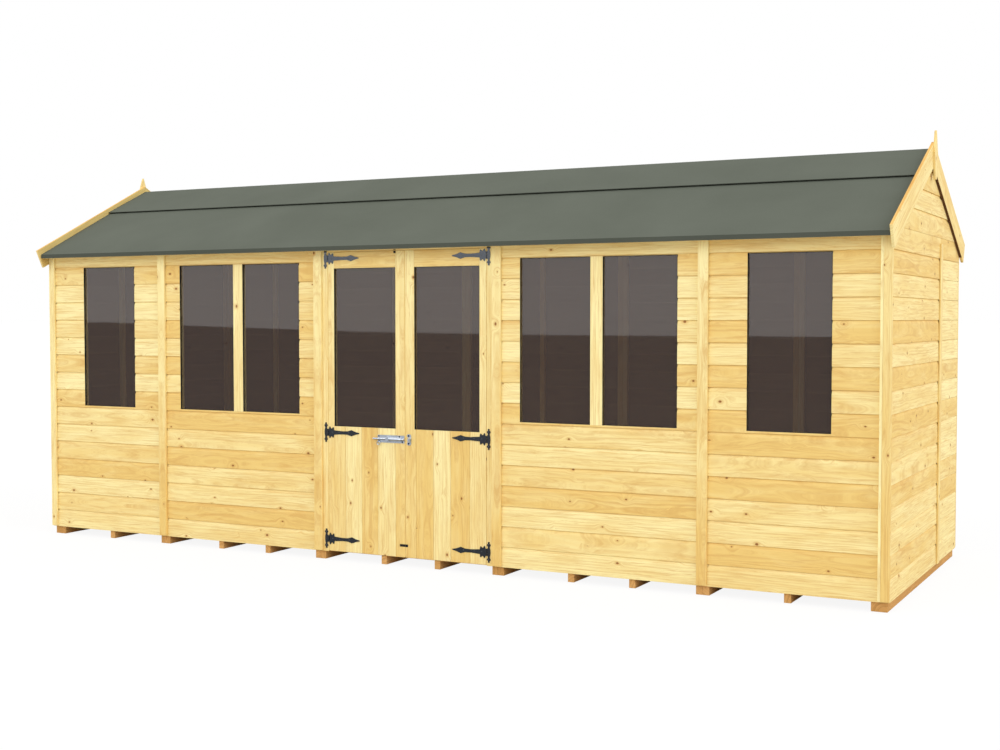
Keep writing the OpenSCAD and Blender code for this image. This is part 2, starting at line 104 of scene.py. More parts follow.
# pale tone, warm tone, late wood and knots
TREATED_PINE = ("#e3b06e", "#cd9a57", "#a07039", "#7d5226")

# a cell of KNOT_CELL along and across the grain holds one knot at most, 5 to 13 mm wide. KNOT_OVAL counts the
# cell's length as less than it is, which makes the knot half as long again as it is wide
KNOT_CELL = (0.45, 0.12)
KNOT_OVAL = (0.31, 0.12)
KNOT_RADII = (0.0025, 0.0064)
# growth rings: about 3 mm apart in the wood, drawn 9 mm apart so that they show. They wander by 12 mm in the
# palest boards and 55 mm in the warmest, and are pushed aside by up to 18 mm within 40 mm of a knot
RING_PITCH = 0.009
RING_WANDER = (0.012, 0.055)
KNOT_REACH = 0.040
KNOT_PUSH = 0.018
# streaks along and across the grain, that follow the rings: 0.3 mm wide in the wood, drawn 8 mm wide
STREAKS_A_METRE = (4.5, 130.0)
# slow waves in the rings, and darker clouds the length of an arm
WAVES_A_METRE = (1.3, 5.0, 5.0)
CLOUDS_A_METRE = (2.6, 16, 16)

# where the heart of its tree lies from a board: along, beside and behind it. Boards of a paler tone than
# QUARTER_SAWN have it far to their side, so their rings run straight
LOG_RUN = 40
FAR_HEART = (0.10, 0.25)
NEAR_HEART = (0.0, 0.05)
HEART_DEPTH = (0.03, 0.12)
QUARTER_SAWN = 0.42


def linear(code):
    """An sRGB hex colour as linear red, green, blue and alpha."""
    parts = [int(code[i:i + 2], 16) / 255 for i in (1, 3, 5)]
    return tuple(c / 12.92 if c <= 0.04045 else ((c + 0.055) / 1.055) ** 2.4 for c in parts) + (1.0,)


def new_material(name):
    material = bpy.data.materials.new(name)
    material.use_nodes = True
    material.node_tree.nodes.clear()
    return material, material.node_tree


def add(tree, kind, links=None, **settings):
    """Adds a node, sets its properties, and sets or links its inputs by name or number."""
    made = tree.nodes.new("ShaderNode" + kind)
    for key, value in settings.items():
        setattr(made, key, value)
    for key, value in (links or {}).items():
        if isinstance(value, bpy.types.NodeSocket):
            tree.links.new(value, made.inputs[key])
        else:
            made.inputs[key].default_value = value
    return made


def knots(t, grain, knotty):
    """How far a point lies from the heart of a knot, whether that knot is there, and its radius."""
    cell = (1 / KNOT_CELL[0], 1 / KNOT_CELL[1], 0)
    cell = add(t, "VectorMath", {0: grain, 1: cell}, operation="MULTIPLY").outputs[0]
    spot = add(t, "TexVoronoi", {"Vector": cell, "Scale": 1.0, "Randomness": 0.95}).outputs
    away = add(t, "VectorMath", {0: cell, 1: spot["Position"]}, operation="SUBTRACT").outputs[0]
    away = add(t, "VectorMath", {0: away, 1: (*KNOT_OVAL, 0)}, operation="MULTIPLY").outputs[0]
    reach = add(t, "VectorMath", {0: away}, operation="LENGTH").outputs["Value"]
    chance = add(t, "SeparateColor", {0: spot["Color"]}).outputs
    there = add(t, "Math", {0: chance["Red"], 1: 1 - knotty}, operation="GREATER_THAN").outputs[0]
    size = add(t, "MapRange", {0: chance["Green"], 3: KNOT_RADII[0], 4: KNOT_RADII[1]}).outputs[0]
    return reach, there, size


def heart_distance(t, grain, waves, tone, reach, there):
    """How far a point lies from the heart of the tree, bent by slow waves and round each knot."""
    # pale boards are sawn on the quarter: their rings run straight, and the warm ones arch
    arch = add(t, "MapRange", {0: tone, 1: 0.1, 2: 0.8, 3: RING_WANDER[0], 4: RING_WANDER[1]}).outputs[0]
    sway = add(t, "Math", {0: waves, 1: 0.5}, operation="SUBTRACT").outputs[0]
    sway = add(t, "Math", {0: sway, 1: arch}, operation="MULTIPLY").outputs[0]
    swirl = add(t, "MapRange", {0: reach, 1: 0.0, 2: KNOT_REACH, 3: KNOT_PUSH, 4: 0.0},
                interpolation_type="SMOOTHSTEP").outputs[0]
    swirl = add(t, "Math", {0: swirl, 1: there}, operation="MULTIPLY").outputs[0]
    radius = add(t, "VectorMath", {0: grain, 1: (0, 1, 1)}, operation="MULTIPLY").outputs[0]
    radius = add(t, "VectorMath", {0: radius}, operation="LENGTH").outputs["Value"]
    radius = add(t, "Math", {0: radius, 1: sway}, operation="ADD").outputs[0]
    return add(t, "Math", {0: radius, 1: swirl}, operation="ADD").outputs[0]


def softwood(name, colours, rough, figure, knotty):
    """Pine along its grain: growth rings that arch and waver, streaks that follow them, and small knots.

    figure is how strongly its rings and streaks show, and knotty the share of the knot cells that hold one.
    """
    pale, warm, deep, knot = (linear(code) for code in colours)
    material, t = new_material(name)
    grain = add(t, "Attribute", attribute_name="grain").outputs["Vector"]
    tone = add(t, "Attribute", attribute_name="tone").outputs["Fac"]
    reach, there, size = knots(t, grain, knotty)
    waves = add(t, "VectorMath", {0: grain, 1: WAVES_A_METRE}, operation="MULTIPLY").outputs[0]
    waves = add(t, "TexNoise", {"Vector": waves, "Scale": 1.0, "Detail": 3.0}).outputs["Fac"]
    radius = heart_distance(t, grain, waves, tone, reach, there)
    ring = add(t, "Math", {0: radius, 1: 1 / RING_PITCH}, operation="MULTIPLY").outputs[0]
    ring = add(t, "TexNoise", {"W": ring, "Scale": 1.0, "Detail": 3.0}, noise_dimensions="1D").outputs["Fac"]
    late = add(t, "MapRange", {0: ring, 1: 0.50, 2: 0.64}, interpolation_type="SMOOTHSTEP").outputs[0]

    along = add(t, "SeparateXYZ", {0: grain}).outputs[0]
    along = add(t, "Math", {0: along, 1: STREAKS_A_METRE[0]}, operation="MULTIPLY").outputs[0]
    across = add(t, "Math", {0: radius, 1: STREAKS_A_METRE[1]}, operation="MULTIPLY").outputs[0]
    strand = add(t, "CombineXYZ", {0: along, 1: across}).outputs[0]
    streak = add(t, "TexNoise", {"Vector": strand, "Scale": 1.0, "Detail": 4.0, "Roughness": 0.75,
                                 "Distortion": 0.6}, noise_dimensions="2D").outputs["Fac"]
    cloud = add(t, "VectorMath", {0: grain, 1: CLOUDS_A_METRE}, operation="MULTIPLY").outputs[0]
    cloud = add(t, "TexNoise", {"Vector": cloud, "Scale": 1.0, "Detail": 3.0,
                                "Distortion": 0.5}).outputs["Fac"]

    drift = add(t, "MapRange", {0: cloud, 1: 0.35, 2: 0.65, 3: -0.12, 4: 0.28}).outputs[0]
    drift = add(t, "Math", {0: tone, 1: drift}, operation="ADD", use_clamp=True).outputs[0]
    wood = add(t, "Mix", {0: drift, 6: pale, 7: warm}, data_type="RGBA").outputs[2]
    depth = add(t, "MapRange", {0: waves, 1: 0.38, 2: 0.60, 3: 0.2 * figure, 4: 0.75 * figure}).outputs[0]
    depth = add(t, "Math", {0: late, 1: depth}, operation="MULTIPLY").outputs[0]
    # pale boards come from slow, even growth, so their figure is fainter
    calm = add(t, "MapRange", {0: tone, 3: 0.5, 4: 1.0}).outputs[0]
    depth = add(t, "Math", {0: depth, 1: calm}, operation="MULTIPLY").outputs[0]
    wood = add(t, "Mix", {0: depth, 6: wood, 7: deep}, data_type="RGBA").outputs[2]
    fine = add(t, "MapRange", {0: streak, 1: 0.44, 2: 0.72, 3: 0.0, 4: 1.15 * figure}).outputs[0]
    wood = add(t, "Mix", {0: fine, 6: wood, 7: deep}, data_type="RGBA").outputs[2]
    # each knot has a soft halo, and a darker heart
    edge = add(t, "Math", {0: reach, 1: size}, operation="DIVIDE").outputs[0]
    for inner, outer, most, colour in ((1.0, 3.2, 0.5, deep), (0.7, 1.2, 0.95, knot)):
        share = add(t, "MapRange", {0: edge, 1: inner, 2: outer, 3: most, 4: 0.0},
                    interpolation_type="SMOOTHSTEP").outputs[0]
        share = add(t, "Math", {0: share, 1: there}, operation="MULTIPLY").outputs[0]
        wood = add(t, "Mix", {0: share, 6: wood, 7: colour}, data_type="RGBA").outputs[2]
    relief = add(t, "Math", {0: streak, 1: late}, operation="SUBTRACT").outputs[0]
    bump = add(t, "Bump", {"Height": relief, "Strength": 0.15, "Distance": 0.0006}).outputs[0]
    shade = add(t, "BsdfPrincipled", {"Base Color": wood, "Roughness": rough, "IOR": 1.45,
                                      "Specular IOR Level": 0.3, "Normal": bump})
    add(t, "OutputMaterial", {"Surface": shade.outputs[0]})
    return material


def new_solid():
    """An empty mesh whose points carry the grain and the tone of the wood."""
    bm = bmesh.new()
    bm.verts.layers.float_vector.new("grain")
    bm.verts.layers.float.new("tone")
    return bm


def solid_of(node):
    """A clean copy of a CAD node's solid."""
    bm = new_solid()
    bm.from_mesh(frame["nodes"][node].data)
    bmesh.ops.remove_doubles(bm, verts=bm.verts, dist=WELD)
    bmesh.ops.dissolve_limit(bm, angle_limit=FLAT_ANGLE, verts=bm.verts, edges=bm.edges)
    return bm


def islands(bm):
    """The points of each separate solid."""
    seen, found = set(), []
    for start in bm.verts:
        if start in seen:
            continue
        seen.add(start)
        reached, queue = [start], [start]
        while queue:
            for edge in queue.pop().link_edges:
                for v in edge.verts:
                    if v not in seen:
                        seen.add(v)
                        reached.append(v)
                        queue.append(v)
        found.append(reached)
    return found


def box_of(verts):
    """The low and high corners of the box round some points."""
    points = [v.co for v in verts]
    return (Vector(min(p[i] for p in points) for i in range(3)),
            Vector(max(p[i] for p in points) for i in range(3)))


def cut(bm, normal, at, side=1, clear=False):
    """Cuts a mesh along a plane, and clears what lies past it on one side where that is asked for."""
    return bmesh.ops.bisect_plane(bm, geom=bm.verts[:] + bm.edges[:] + bm.faces[:], dist=CUT_SLACK,
                                  plane_co=normal * at, plane_no=normal * side, clear_outer=clear)


def slab(bm, normal, low, high):
    """What lies between two parallel planes of a solid, closed at its cuts."""
    part = bm.copy()
    for at, side in ((low, -1), (high, 1)):
        made = cut(part, normal, at, side, clear=True)
        rim = [e for e in made["geom_cut"] if isinstance(e, bmesh.types.BMEdge) and e.is_boundary]
        if rim:
            bmesh.ops.edgeloop_fill(part, edges=rim)
    return part


def ease_edges(bm, width):
    """Takes the sharpness off every edge, as a planer or sandpaper does."""
    sharp = [e for e in bm.edges if len(e.link_faces) == 2 and e.calc_face_angle(0) > SHARP_ANGLE]
    bmesh.ops.bevel(bm, geom=sharp, offset=width, offset_type="OFFSET", segments=2,
                    affect="EDGES", profile=ROUNDNESS, clamp_overlap=True)


def set_grain(bm, verts, chance, tone, along=None):
    """Gives one length of wood its own run of grain, measured along and across it from a heart of its own."""
    grain = bm.verts.layers.float_vector["grain"]
    shade = bm.verts.layers.float["tone"]
    points = np.array([v.co for v in verts])
    centre = Vector((points.min(0) + points.max(0)) / 2)
    axes = np.linalg.eigh(np.cov((points - points.mean(0)).T))[1]
    run = Vector(axes[:, 2]) if along is None else along
    wide = Vector(axes[:, 1]) if abs(Vector(axes[:, 1]).dot(run)) < 0.7 else Vector(axes[:, 2])
    wide = (wide - run * wide.dot(run)).normalized()
    thick = run.cross(wide).normalized()
    aside = FAR_HEART if tone < QUARTER_SAWN else NEAR_HEART
    heart = Vector((chance.uniform(-LOG_RUN, LOG_RUN), chance.choice((-1, 1)) * chance.uniform(*aside),
                    chance.choice((-1, 1)) * chance.uniform(*HEART_DEPTH)))
    for v in verts:
        away = v.co - centre
        v[grain] = Vector((away.dot(run), away.dot(wide), away.dot(thick))) + heart
        v[shade] = tone


def grade(bm, verts, top, foot):
    """Lets the tone of one upright change from its top to its foot."""
    shade = bm.verts.layers.float["tone"]
    low, high = box_of(verts)
    for v in verts:
        v[shade] = foot + (top - foot) * (v.co.z - low.z) / (high.z - low.z)


def body_of(node):
    return frame["nodes"][node]["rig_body"]


def place(bm, name, body, finish, stands_for=()):
    """Turns a mesh into a piece that rides on a body and stands for the CAD nodes it replaces.

    A finish is a material and the name of a slot of the part's materials; the slot is not used.
    """
    material, slot = finish
    mesh = bpy.data.meshes.new(name)
    bm.normal_update()
    bm.to_mesh(mesh)
    bm.free()
    piece = bpy.data.objects.new(name, mesh)
    bpy.context.scene.collection.objects.link(piece)
    mesh.materials.append(material)
    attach(piece, body)
    if stands_for:
        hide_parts(*stands_for)
    return piece


def sticks(node, finish, seed, low=0.0, high=1.0, foot=None, short=0.0, marks=(), ease=PLANED_EASE):
    """A CAD node's lengths of timber with eased edges, each with its own grain and a tone from low to high.

    With foot given, that is the tone they reach at their feet. Their upper ends are cut short by a length,
    and their faces are parted at the marks, which are places in y.
    """
    chance = random.Random(seed)
    bm = solid_of(node)
    if short:
        whole = bm
        bm = slab(whole, Z, cad_box[0][2] - 1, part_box(node)[1].z - short)
        whole.free()
    for mark in marks:
        cut(bm, Y, mark)
    ease_edges(bm, ease)
    for verts in islands(bm):
        tone = chance.uniform(low, high)
        set_grain(bm, verts, chance, tone)
        if foot is not None:
            grade(bm, verts, tone, foot)
    return place(bm, node + "_timber", body_of(node), finish, (node,))


sawn = (softwood("sawn_treated_pine", TREATED_PINE, rough=0.8, figure=0.55, knotty=0.1), "sawn_pine")
sticks("floor_joists", sawn, 11, ease=SAWN_EASE)

# ---- Floor boards ----
# Tongued and grooved boards nailed across the joists, of the same treated pine. The tongues show as
# darker lines at the bottom of the open joints.

BOARD_COVER = 0.1142
BOARD_T = 0.012
BOARD_EASE = 0.0012
BOARD_JOINT = 0.0016
TONGUE_HALF = 0.002
# how deep the tongue lies, as a share of the board's thickness: in a floor or roof, and in a wall under coves
FLOOR_TONGUE = 0.5
WALL_TONGUE = 0.75
# the share of a board by which a panel may start short of a seam and still be counted from it
SEAM_SLACK = 0.05
THINNEST_BOARD = 0.006
MOST_BOARDS = 60
# further than any board reaches
EVERYWHERE = 100
FLOOR_TONES = (0.2, 0.7, 0.4, 0.0, 0.9, 0.5, 0.1)


def join(made, part):
    """Adds one mesh to another and frees it."""
    scrap = bpy.data.meshes.new("part")
    part.to_mesh(scrap)
    made.from_mesh(scrap)
    part.free()
    bpy.data.meshes.remove(scrap)


def boards(node, name, finish, seed, axes, start, batches, face=None, fade=EVERYWHERE):
    """Cuts a CAD panel into tongued boards of one cover width, counted from start.

    The axes are the way the boards lie side by side, the way they run and the way through them. Each batch
    is how far it reaches along the run and the tones of its boards. In a wall, face is the side that looks
    out, 1 or -1: the boards there have a coved top edge, which dies out towards ends that lie past fade.
    """
    up, along, through = axes
    chance = random.Random(seed)
    whole = solid_of(node)
    reach = [v.co.dot(up) for v in whole.verts]
    depth = [v.co.dot(through) for v in whole.verts]
    low, high = min(reach), max(reach)
    outside = min(depth) if face == -1 else max(depth)
    tongue_at = outside - BOARD_T * (FLOOR_TONGUE if face is None else WALL_TONGUE * face)
    first = math.floor((low - start) / BOARD_COVER + SEAM_SLACK)
    seams = [start + k * BOARD_COVER for k in range(first, first + MOST_BOARDS)]
    seams = [seam for seam in seams if low + THINNEST_BOARD < seam < high - THINNEST_BOARD]
    # the first and the last board are cut only by the panel's own edges
    edges = [low - 1] + seams + [high + 1]
    made = new_solid()
    for k, (a, b) in enumerate(zip(edges, edges[1:])):
        board = slab(whole, up, a + BOARD_JOINT / 2, b - BOARD_JOINT / 2)
        if face is not None and b < high:
            cove(board, axes, b - BOARD_JOINT / 2, outside, face, fade)
        ease_edges(board, BOARD_EASE)
        for verts in islands(board):
            at = sum((v.co for v in verts), Vector()).dot(along) / len(verts)
            tones = next(tones for far, tones in batches if at < far)
            set_grain(board, verts, chance, tones[(first + k) % len(tones)], along)
        join(made, board)
        if b < high:
            gap = slab(whole, up, b - BOARD_JOINT / 2, b + BOARD_JOINT / 2)
            tongue = slab(gap, through, tongue_at - TONGUE_HALF, tongue_at + TONGUE_HALF)
            gap.free()
            set_grain(tongue, tongue.verts[:], chance, 1.0, along)
            join(made, tongue)
    whole.free()
    return place(made, name, body_of(node), finish, (node,))


boards("floor_boards", "floor_boarding", sawn, 12, (Y, X, Z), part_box("floor_boards")[0].y,
       ((EVERYWHERE, FLOOR_TONES),))

# ---- Front wall ----
# Four panels of planed pine shiplap, nailed to a light frame and cut out for the windows. Each board has
# a shallow cove along its top edge under the lip of the next, so a strip nailed over the joints leaves
# small dark holes. The panels come from two batches of boards, one paler than the other.

PLANED_PINE = ("#fff2b3", "#eecc7c", "#d4a256", "#8f5a28")
# painted shade: the backs of the boards, seen only from inside, are darkened for the dim room
ROOM_SHADE_PINE = ("#8b7654", "#7d6543", "#634d31", "#4f3c27")
COVE_H = 0.021
COVE_D = 0.0068
COVE_STEPS = 4
COVE_CURVE = 1.1
ON_FACE = 1e-5
BACK_FACING = -0.5
PALE_BATCH = (0.2, 0.5, 0.2, 0.9, 0.6, 0.25, 0.45, 0.75, 0.05, 0.65, 0.05, 0.35, 0.1, 0.05, 0.6, 0.3)
WARM_BATCH = (0.4, 0.95, 0.35, 0.45, 0.95, 0.5, 0.9, 0.95, 0.45, 0.9, 0.4, 0.85, 0.4, 0.4, 0.9, 0.5)
FRONT_PANELS = (("left_end", PALE_BATCH), ("left_pair", WARM_BATCH), ("right_pair", PALE_BATCH),
                ("right_end", WARM_BATCH))


def cove(board, axes, top, outside, face, fade):
    """Hollows the top edge of a board on its outer face, deepest at the top, but not past fade."""
    up, along, through = axes
    for step in range(1, COVE_STEPS + 1):
        cut(board, up, top - COVE_H * step / COVE_STEPS)
    for v in board.verts:
        share = 1 - (top - v.co.dot(up)) / COVE_H
        if share > 0 and abs(v.co.dot(through) - outside) < ON_FACE and v.co.dot(along) < fade:
            v.co -= through * face * COVE_D * share ** COVE_CURVE


def wall(node, name, seed, axes, start, batches, face, fade=EVERYWHERE):
    """A panel of shiplap, planed on its outer face and left rough from the saw on its back, which carries
    painted shade for the dim room inside.
    """
    piece = boards(node, name, planed, seed, axes, start, batches, face, fade)
    piece.data.materials.append(room_shade_backs)
    for polygon in piece.data.polygons:
        if polygon.normal.dot(axes[2]) * face < BACK_FACING:
            polygon.material_index = 1


planed = (softwood("planed_pine", PLANED_PINE, rough=0.62, figure=0.5, knotty=0.6), "planed_pine")
room_shade_backs = softwood("painted_room_shade_backs", ROOM_SHADE_PINE, rough=0.85, figure=0.4, knotty=0.3)
wall_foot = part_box("front_wall_left_end")[0].z
for seed, (part, batch) in enumerate(FRONT_PANELS):
    wall("front_wall_" + part, "front_boarding_" + part, 21 + seed, (Z, X, Y), wall_foot,
         ((EVERYWHERE, batch),), -1)
sticks("front_frame", planed, 31)

# ---- Windows ----
# Fixed panes of 3 mm float glass, bedded behind the boarding. A thin black lining in each opening, from
# the face to the glass, is painted shade in the reveals, and an upright board covers the boards' ends between
# two paired panes.

# painted shade: the glass's brown body colour stands in for the dim room seen through it
ROOM_SHADE_BROWN = "#4f3d34"
GLASS_LAP = 0.005
# matt black: the door stops' rubber, and painted shade in the window reveals
MATT_BLACK = "#0c0c0d"
REVEAL_SHADE_T = 0.0018
# the painted shade lining runs from a little behind the wall's face to just before the glass
REVEAL_SHADE_BACK = 0.0006
REVEAL_SHADE_OFF_GLASS = 0.0001
# the upright board is a little proud of the wall, and laps it beside, above and below the openings
WIDEST_MULLION = 0.2
MULLION_PROUD = 0.0006
MULLION_OVER = 0.0003
MULLION_PAST = 0.001
MULLION_OFF_GLASS = 0.0004


def float_glass(name):
    """Glass that lets the room behind show dimly through it, with a brown body colour that is painted shade for
    that dim room, a sharp gloss and a faint waviness.
    """
    material, t = new_material(name)
    place_in = add(t, "TexCoord").outputs["Object"]
    # the sheet wavers over about 330 mm
    ripple = add(t, "TexNoise", {"Vector": place_in, "Scale": 3.0, "Detail": 1.0}).outputs["Fac"]
    rough = add(t, "MapRange", {0: ripple, 3: 0.0, 4: 0.03}).outputs[0]
    bump = add(t, "Bump", {"Height": ripple, "Strength": 0.02, "Distance": 0.001}).outputs[0]
    shade = add(t, "BsdfPrincipled", {"Base Color": linear(ROOM_SHADE_BROWN), "Roughness": rough, "IOR": 1.7,
                                      "Specular IOR Level": 1.0, "Coat Weight": 1.0, "Coat Roughness": 0.0,
                                      "Coat IOR": 1.52, "Alpha": 0.37, "Normal": bump, "Coat Normal": bump})
    add(t, "OutputMaterial", {"Surface": shade.outputs[0]})
    return material


def matt_black_material(name):
    """Matt black with a slight bloom: rubber on the door stops, and painted shade in the window reveals."""
    material, t = new_material(name)
    place_in = add(t, "TexCoord").outputs["Object"]
    # bloom: patches about 17 mm wide
    bloom = add(t, "TexNoise", {"Vector": place_in, "Scale": 60.0, "Detail": 2.0}).outputs["Fac"]
    rough = add(t, "MapRange", {0: bloom, 3: 0.6, 4: 0.8}).outputs[0]
    shade = add(t, "BsdfPrincipled", {"Base Color": linear(MATT_BLACK), "Roughness": rough})
    add(t, "OutputMaterial", {"Surface": shade.outputs[0]})
    return material


def dress(node, material):
    """Gives a CAD node's own mesh its material."""
    mesh = frame["nodes"][node].data
    mesh.materials.clear()
    mesh.materials.append(material)


def block(bm, low, high):
    """One rectangular solid between two corners."""
    corners = [bm.verts.new((x, y, z)) for z in (low[2], high[2]) for y in (low[1], high[1])
               for x in (low[0], high[0])]
    for a, b, c, d in ((0, 2, 3, 1), (4, 5, 7, 6), (0, 1, 5, 4), (2, 6, 7, 3), (0, 4, 6, 2), (1, 3, 7, 5)):
        bm.faces.new((corners[a], corners[b], corners[c], corners[d]))


def boxes_of(node):
    """The box round each separate solid of a CAD node."""
    bm = solid_of(node)
    found = [box_of(verts) for verts in islands(bm)]
    bm.free()
    return found


def reveal_shade_lining(node, face, name):
    """Lines the opening in front of each pane with black, as painted shade in its reveals."""
    bm = bmesh.new()
    for low, high in boxes_of(node):
        x0, x1, z0, z1 = low.x + GLASS_LAP, high.x - GLASS_LAP, low.z + GLASS_LAP, high.z - GLASS_LAP
        front, back = face + REVEAL_SHADE_BACK, low.y - REVEAL_SHADE_OFF_GLASS
        for a, b in (((x0, z0), (x1, z0 + REVEAL_SHADE_T)), ((x0, z1 - REVEAL_SHADE_T), (x1, z1)),
                     ((x0, z0 + REVEAL_SHADE_T), (x0 + REVEAL_SHADE_T, z1 - REVEAL_SHADE_T)),
                     ((x1 - REVEAL_SHADE_T, z0 + REVEAL_SHADE_T), (x1, z1 - REVEAL_SHADE_T))):
            block(bm, (a[0], front, a[1]), (b[0], back, b[1]))
    place(bm, name, body_of(node), stops_and_reveal_shade)


def between_panes(spans, seed):
    """An upright board over the wall between each two panes of a pair."""
    chance = random.Random(seed)
    bm = new_solid()
    for (low, high), (next_low, _) in zip(spans, spans[1:]):
        if next_low.x - high.x + 2 * GLASS_LAP < WIDEST_MULLION:
            block(bm, (high.x - GLASS_LAP - MULLION_OVER, wall_face - MULLION_PROUD,
                       low.z + GLASS_LAP - MULLION_PAST),
                  (next_low.x + GLASS_LAP + MULLION_OVER, low.y - MULLION_OFF_GLASS,
                   high.z - GLASS_LAP + MULLION_PAST))
    for verts in islands(bm):
        set_grain(bm, verts, chance, 0.1, Z)
    place(bm, "window_mullions", "house", planed)


glass = float_glass("float_glass")
# painted shade: the window reveals take this matt black, as the door stops do
stops_and_reveal_shade = (matt_black_material("rubber_and_reveal_shade"), "black_iron")
wall_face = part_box("front_wall_left_end")[0].y
dress("window_glass", glass)
reveal_shade_lining("window_glass", wall_face, "window_reveal_shade")
between_panes(sorted(boxes_of("window_glass"), key=lambda span: span[0].x), 37)

# ---- Doorway ----
# Planed pine posts stand each side of the doorway with a head nailed across them. A thin bead in the gap
# round each leaf closes it to the weather.

BEAD = 0.0036
# where a bead starts and ends behind the wall's face
BEAD_BACK = 0.0016
BEAD_REACH = 0.011
BEAD_EASE = 0.0006
MEETING_BEAD_SHORT = 0.002


def bead(spots, body, name, seed):
    """Thin planed beads between pairs of corners."""
    chance = random.Random(seed)
    bm = new_solid()
    for low, high in spots:
        block(bm, low, high)
    ease_edges(bm, BEAD_EASE)
    for verts in islands(bm):
        set_grain(bm, verts, chance, 0.7)
    place(bm, name, body, planed)


sticks("door_jambs", planed, 41, low=0.0, high=0.2, foot=0.6)
sticks("door_head", planed, 42, low=0.1, high=0.4)
leaf_low, leaf_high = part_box("left_door_boards")
head_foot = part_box("door_head")[0].z
jamb_in = leaf_low.x - (head_foot - leaf_high.z)
front, back = wall_face + BEAD_BACK, wall_face + BEAD_REACH
bead([((jamb_in, front, leaf_low.z), (jamb_in + BEAD, back, head_foot)),
      ((-jamb_in - BEAD, front, leaf_low.z), (-jamb_in, back, head_foot)),
      ((jamb_in + BEAD, front, head_foot - BEAD), (-jamb_in - BEAD, back, head_foot))],
     "house", "doorway_bead", 44)
bead([((leaf_high.x, front, leaf_low.z + MEETING_BEAD_SHORT),
       (leaf_high.x + BEAD, back, leaf_high.z - MEETING_BEAD_SHORT))],
     "left_door", "meeting_bead", 45)

# ---- Cover strips ----
# Planed strips nailed over the joints between panels and down the corners, pale at their tops and warmer
# towards their feet. The strips on the gables stop a little below the wall's top.

# strips narrower than these are beads, or stand at a corner
BEAD_W = 0.02
CORNER_W = 0.05
STRIP_SHORT = 0.032
# tones at the top and at the foot
BEAD_TONES = (0.0, 0.0)
LEFT_CORNER_TONES = (0.0, 0.35)
RIGHT_CORNER_TONES = (0.2, 1.0)
JOINT_TONES = (0.0, 0.9)


def cover_strips(node, seed):
    """A CAD node's upright strips, each with the tones of its width and its place."""
    chance = random.Random(seed)
    bm = solid_of(node)
    ease_edges(bm, PLANED_EASE)
    for verts in islands(bm):
        low, high = box_of(verts)
        tones = JOINT_TONES
        if high.x - low.x < BEAD_W:
            tones = BEAD_TONES
        elif high.x - low.x < CORNER_W:
            tones = LEFT_CORNER_TONES if low.x < 0 else RIGHT_CORNER_TONES
        set_grain(bm, verts, chance, sum(tones) / 2, Z)
        grade(bm, verts, *tones)
    place(bm, node + "_timber", body_of(node), planed, (node,))


cover_strips("front_cover_strips", 46)
cover_strips("back_cover_strips", 47)
sticks("gable_cover_strips", planed, 48, low=0.4, high=0.6, short=STRIP_SHORT)

# ---- Back wall and gables ----
# The back is boarded like the front, with no openings. Each gable is two boarded panels on a frame,
# under a boarded peak, and all of it is the same planed shiplap.

# how far the joints beside the doorway's bay lie from the middle
HALF_DOOR_BAY = 0.6
# how far before the walls' corners the coves of the gable boards end
COVE_ENDS = 0.05
GABLE_NEAR = (0.4, 0.7, 0.4, 0.4, 0.8, 0.45, 0.7, 0.9, 0.4, 0.9, 0.4, 0.9, 0.4, 0.4, 0.85, 0.6)
GABLE_FAR = (0.15, 0.2, 0.1, 0.9, 0.5, 0.2, 0.2, 0.7, 0.1, 0.6, 0.1, 0.25, 0.15, 0.15, 0.25, 0.9)
PEAK_TONES = (0.65, 0.4, 0.75)

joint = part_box("front_wall_left_end")[1].x
wall("back_wall", "back_boarding", 51, (Z, X, Y), wall_foot,
     ((joint, WARM_BATCH), (-HALF_DOOR_BAY, PALE_BATCH), (HALF_DOOR_BAY, WARM_BATCH),
      (-joint, PALE_BATCH), (EVERYWHERE, WARM_BATCH)), 1)
sticks("back_frame", planed, 52)
gable_joint = sum(v.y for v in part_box("gable_cover_strips")) / 2
wall_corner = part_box("back_wall")[1].y
for seed, (part, face) in enumerate((("left_gable", -1), ("right_gable", 1))):
    wall(part + "_wall", part + "_boarding", 55 + seed, (Z, Y, X), wall_foot,
         ((gable_joint, GABLE_NEAR), (EVERYWHERE, GABLE_FAR)), face, wall_corner - COVE_ENDS)
    peak = part + "_peak"
    wall(peak, peak + "_boarding", 58 + seed, (Z, Y, X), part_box(peak)[0].z, ((EVERYWHERE, PEAK_TONES),), face)
sticks("gable_frames", planed, 60)

# ---- Roof timbers ----
# A ridge beam and two purlins of planed pine carry the roof boards between the gable rafters. The boards
# are tongued and run along the house, down to a batten that stiffens the edge behind the felt's fold.

PITCH = math.radians(26)
# how far the first seam lies from the eaves' edge
LOWEST_BOARD = 0.045

for seed, part in enumerate(("gable_rafters", "ridge_beam", "purlins")):
    sticks(part, planed, 61 + seed)
for seed, (part, side) in enumerate((("roof_boards_front", -1), ("roof_boards_back", 1))):
    down = Vector((0, side * math.cos(PITCH), -math.sin(PITCH)))
    out = Vector((0, side * math.sin(PITCH), math.cos(PITCH)))
    far = max(v.co.dot(down) for v in frame["nodes"][part].data.vertices)
    boards(part, part + "_boarding", planed, 71 + seed, (down, X, out), far - LOWEST_BOARD,
           ((EVERYWHERE, FLOOR_TONES),))

# ---- Roofing felt ----
# Mineral-faced bitumen felt, nailed along each slope and folded down over its edge, with a cap sheet
# over the ridge. The crushed mineral on it is matt grey-green.

FELT = "#62675c"
FELT_DARK = "#5b6055"
# painted shade: how much of its lightness the felt keeps on faces that turn down towards upright
FELT_UPRIGHT_SHADE = 0.66


